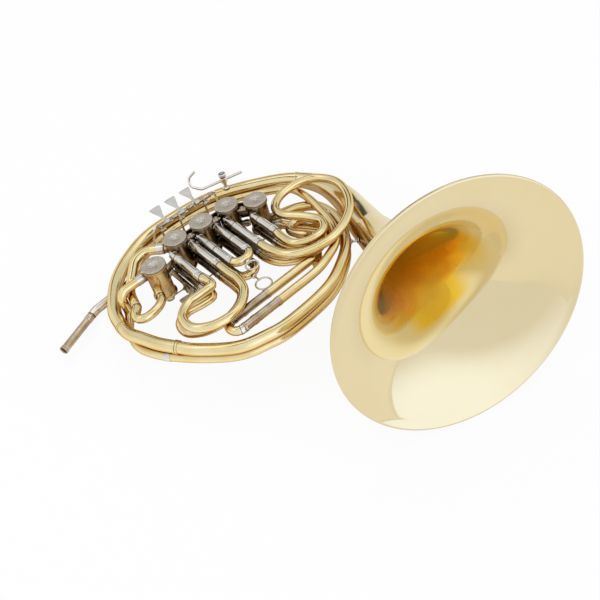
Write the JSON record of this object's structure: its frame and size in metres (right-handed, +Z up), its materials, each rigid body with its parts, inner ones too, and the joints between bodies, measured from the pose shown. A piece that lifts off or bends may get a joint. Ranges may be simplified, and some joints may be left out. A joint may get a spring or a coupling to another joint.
{
  "type": "double french horn",
  "caption": "Double french horn with rotary valves, levers, sliding crooks and a wide flared bell, lying on its bell rim and ring.",
  "frame": {"origin": "middle of the box's foot, on the surface the horn lies on", "axes": "+Z up with the horn lying on its bell rim and ring; +X along the valve row towards the bell; the bell's mouth looks towards -Y and a little up"},
  "size_m": [0.5712, 0.4738, 0.2867],
  "materials": {
    "lacquered_brass": "clear lacquer, polished",
    "nickel_silver": "nickel silver, lacquered, satin to polished",
    "steel": "plain steel"
  },
  "bodies": {
    "horn": {"bell": "lacquered_brass", "bell_brace": "nickel_silver", "bell_branch": "lacquered_brass", "bottom_ferrule": "nickel_silver", "change_valve_cap": "nickel_silver", "change_valve_casing": "nickel_silver", "change_valve_tube": "lacquered_brass", "finger_axle": "steel", "first_valve_cap": "nickel_silver", "first_valve_casing": "nickel_silver", "first_valve_elbow": "lacquered_brass", "hook_post": "nickel_silver", "inner_ring_tube": "lacquered_brass", "leadpipe": "lacquered_brass", "leadpipe_brace": "nickel_silver", "left_ferrule": "nickel_silver", "left_lever_post": "nickel_silver", "lower_branch": "lacquered_brass", "main_lower_sleeve": "nickel_silver", "main_upper_sleeve": "nickel_silver", "mouthpiece_receiver": "nickel_silver", "right_lever_post": "nickel_silver", "row_brace": "nickel_silver", "second_valve_cap": "nickel_silver", "second_valve_casing": "nickel_silver", "stacked_ring_tube": "lacquered_brass", "stopping_slide_sleeve": "nickel_silver", "stopping_valve_cap": "nickel_silver", "stopping_valve_casing": "nickel_silver", "stopping_valve_tube": "lacquered_brass", "tail_ferrule": "nickel_silver", "third_valve_cap": "nickel_silver", "third_valve_casing": "nickel_silver", "thumb_axle": "steel"},
    "first_lever": {"first_lever": "nickel_silver"},
    "first_link": {"first_link": "steel"},
    "first_rotor": {"first_rotor": "lacquered_brass"},
    "second_lever": {"second_lever": "nickel_silver"},
    "second_link": {"second_link": "steel"},
    "second_rotor": {"second_rotor": "lacquered_brass"},
    "third_lever": {"third_lever": "nickel_silver"},
    "third_link": {"third_link": "steel"},
    "third_rotor": {"third_rotor": "lacquered_brass"},
    "change_lever": {"change_lever": "nickel_silver"},
    "change_link": {"change_link": "steel"},
    "change_rotor": {"change_rotor": "lacquered_brass"},
    "stopping_lever": {"stopping_lever": "nickel_silver"},
    "stopping_link": {"stopping_link": "steel"},
    "stopping_rotor": {"stopping_rotor": "lacquered_brass"},
    "first_slide": {"first_slide": "lacquered_brass"},
    "second_slide": {"second_slide": "lacquered_brass"},
    "third_slide": {"third_slide": "lacquered_brass"},
    "low_first_slide": {"low_first_slide": "lacquered_brass"},
    "low_second_slide": {"low_second_slide": "lacquered_brass"},
    "low_third_slide": {"low_third_slide": "lacquered_brass"},
    "main_tuning_slide": {"main_tuning_slide": "lacquered_brass"},
    "stopping_slide": {"stopping_slide": "lacquered_brass"},
    "finger_hook": {"finger_hook": "nickel_silver"},
    "hook_thumbscrew": {"hook_thumbscrew": "nickel_silver"}
  },
  "joints": [
    {"name": "first_lever_hinge", "type": "hinge", "parent": "horn", "child": "first_lever", "pos_m": [-0.06882, 0.18324, 0.05145], "axis": [-0.9721, -0.2338, 0.0194], "range_deg": [0, 14.5], "stiffness_Nm_per_rad": 0.12, "springref_deg": -8.59},
    {"name": "first_link_pivot", "type": "hinge", "parent": "first_lever", "child": "first_link", "pos_m": [-0.10367, 0.16182, 0.00549], "axis": [-0.9721, -0.2338, 0.0194], "range_deg": [-14.6, 0.1]},
    {"name": "first_rotor_turn", "type": "hinge", "parent": "horn", "child": "first_rotor", "pos_m": [-0.09841, 0.13068, 0.07461], "axis": [-0.043, 0.2591, 0.9649], "range_deg": [-90.2, 0.1]},
    {"name": "second_lever_hinge", "type": "hinge", "parent": "horn", "child": "second_lever", "pos_m": [-0.06882, 0.18324, 0.05145], "axis": [-0.9721, -0.2338, 0.0194], "range_deg": [0, 14.5], "stiffness_Nm_per_rad": 0.12, "springref_deg": -8.59},
    {"name": "second_link_pivot", "type": "hinge", "parent": "second_lever", "child": "second_link", "pos_m": [-0.07501, 0.16871, 0.00492], "axis": [-0.9721, -0.2338, 0.0194], "range_deg": [-14.6, 0.1]},
    {"name": "second_rotor_turn", "type": "hinge", "parent": "horn", "child": "second_rotor", "pos_m": [-0.05806, 0.14038, 0.07381], "axis": [-0.043, 0.2591, 0.9649], "range_deg": [-0.1, 90.2]},
    {"name": "third_lever_hinge", "type": "hinge", "parent": "horn", "child": "third_lever", "pos_m": [-0.06882, 0.18324, 0.05145], "axis": [-0.9721, -0.2338, 0.0194], "range_deg": [0, 14.5], "stiffness_Nm_per_rad": 0.12, "springref_deg": -8.59},
    {"name": "third_link_pivot", "type": "hinge", "parent": "third_lever", "child": "third_link", "pos_m": [-0.03467, 0.17841, 0.00411], "axis": [-0.9721, -0.2338, 0.0194], "range_deg": [-14.6, 0.1]},
    {"name": "third_rotor_turn", "type": "hinge", "parent": "horn", "child": "third_rotor", "pos_m": [-0.01772, 0.15008, 0.073], "axis": [-0.043, 0.2591, 0.9649], "range_deg": [-0.1, 90.2]},
    {"name": "change_lever_hinge", "type": "hinge", "parent": "horn", "child": "change_lever", "pos_m": [-0.1157, 0.11305, 0.02676], "axis": [-0.2306, 0.9371, -0.2619], "range_deg": [0, 26], "stiffness_Nm_per_rad": 0.12, "springref_deg": -8.59},
    {"name": "change_link_pivot", "type": "hinge", "parent": "change_lever", "child": "change_link", "pos_m": [-0.10808, 0.08075, 0.01918], "axis": [-0.2306, 0.9371, -0.2619], "range_deg": [-26.1, 0.1]},
    {"name": "change_rotor_turn", "type": "hinge", "parent": "horn", "child": "change_rotor", "pos_m": [0.01795, 0.13484, 0.07868], "axis": [-0.043, 0.2591, 0.9649], "range_deg": [-90.2, 0.1]},
    {"name": "stopping_lever_hinge", "type": "hinge", "parent": "horn", "child": "stopping_lever", "pos_m": [-0.1157, 0.11305, 0.02676], "axis": [-0.2306, 0.9371, -0.2619], "range_deg": [0, 26], "stiffness_Nm_per_rad": 0.12, "springref_deg": -8.59},
    {"name": "stopping_link_pivot", "type": "hinge", "parent": "stopping_lever", "child": "stopping_link", "pos_m": [-0.10994, 0.08832, 0.01707], "axis": [-0.2306, 0.9371, -0.2619], "range_deg": [-26.1, 0.1]},
    {"name": "stopping_rotor_turn", "type": "hinge", "parent": "horn", "child": "stopping_rotor", "pos_m": [-0.13879, 0.09813, 0.08155], "axis": [-0.043, 0.2591, 0.9649], "range_deg": [-0.1, 90.2]},
    {"name": "first_slide_draw", "type": "slide", "parent": "horn", "child": "first_slide", "axis": [0.2306, -0.9371, 0.2619], "range_m": [0, 0.04]},
    {"name": "second_slide_draw", "type": "slide", "parent": "horn", "child": "second_slide", "axis": [0.2306, -0.9371, 0.2619], "range_m": [0, 0.015]},
    {"name": "third_slide_draw", "type": "slide", "parent": "horn", "child": "third_slide", "axis": [0.2306, -0.9371, 0.2619], "range_m": [0, 0.018]},
    {"name": "low_first_slide_draw", "type": "slide", "parent": "horn", "child": "low_first_slide", "axis": [0.2306, -0.9371, 0.2619], "range_m": [0, 0.01]},
    {"name": "low_second_slide_draw", "type": "slide", "parent": "horn", "child": "low_second_slide", "axis": [0.2306, -0.9371, 0.2619], "range_m": [0, 0.01]},
    {"name": "low_third_slide_draw", "type": "slide", "parent": "horn", "child": "low_third_slide", "axis": [0.2306, -0.9371, 0.2619], "range_m": [0, 0.005]},
    {"name": "main_tuning_slide_draw", "type": "slide", "parent": "horn", "child": "main_tuning_slide", "axis": [-0.9574, -0.2868, 0.0343], "range_m": [0, 0.03]},
    {"name": "stopping_slide_draw", "type": "slide", "parent": "horn", "child": "stopping_slide", "axis": [-0.0115, -0.9659, 0.2588], "range_m": [0, 0.008]},
    {"name": "finger_hook_reach", "type": "slide", "parent": "horn", "child": "finger_hook", "axis": [0.999, 0, 0.0445], "range_m": [-0.008, 0.012]},
    {"name": "hook_thumbscrew_turn", "type": "hinge", "parent": "horn", "child": "hook_thumbscrew", "pos_m": [0.00547, 0.2229, 0.0407], "axis": [-0.043, 0.2591, 0.9649], "range_deg": [-180, 180]}
  ],
  "couplings": [
    {"joint": "first_link_pivot", "follows": "first_lever_hinge", "ratio": -1},
    {"joint": "first_rotor_turn", "follows": "first_lever_hinge", "ratio": -6.2069},
    {"joint": "second_link_pivot", "follows": "second_lever_hinge", "ratio": -1},
    {"joint": "second_rotor_turn", "follows": "second_lever_hinge", "ratio": 6.2069},
    {"joint": "third_link_pivot", "follows": "third_lever_hinge", "ratio": -1},
    {"joint": "third_rotor_turn", "follows": "third_lever_hinge", "ratio": 6.2069},
    {"joint": "change_link_pivot", "follows": "change_lever_hinge", "ratio": -1},
    {"joint": "change_rotor_turn", "follows": "change_lever_hinge", "ratio": -3.4615},
    {"joint": "stopping_link_pivot", "follows": "stopping_lever_hinge", "ratio": -1},
    {"joint": "stopping_rotor_turn", "follows": "stopping_lever_hinge", "ratio": 3.4615}
  ]
}
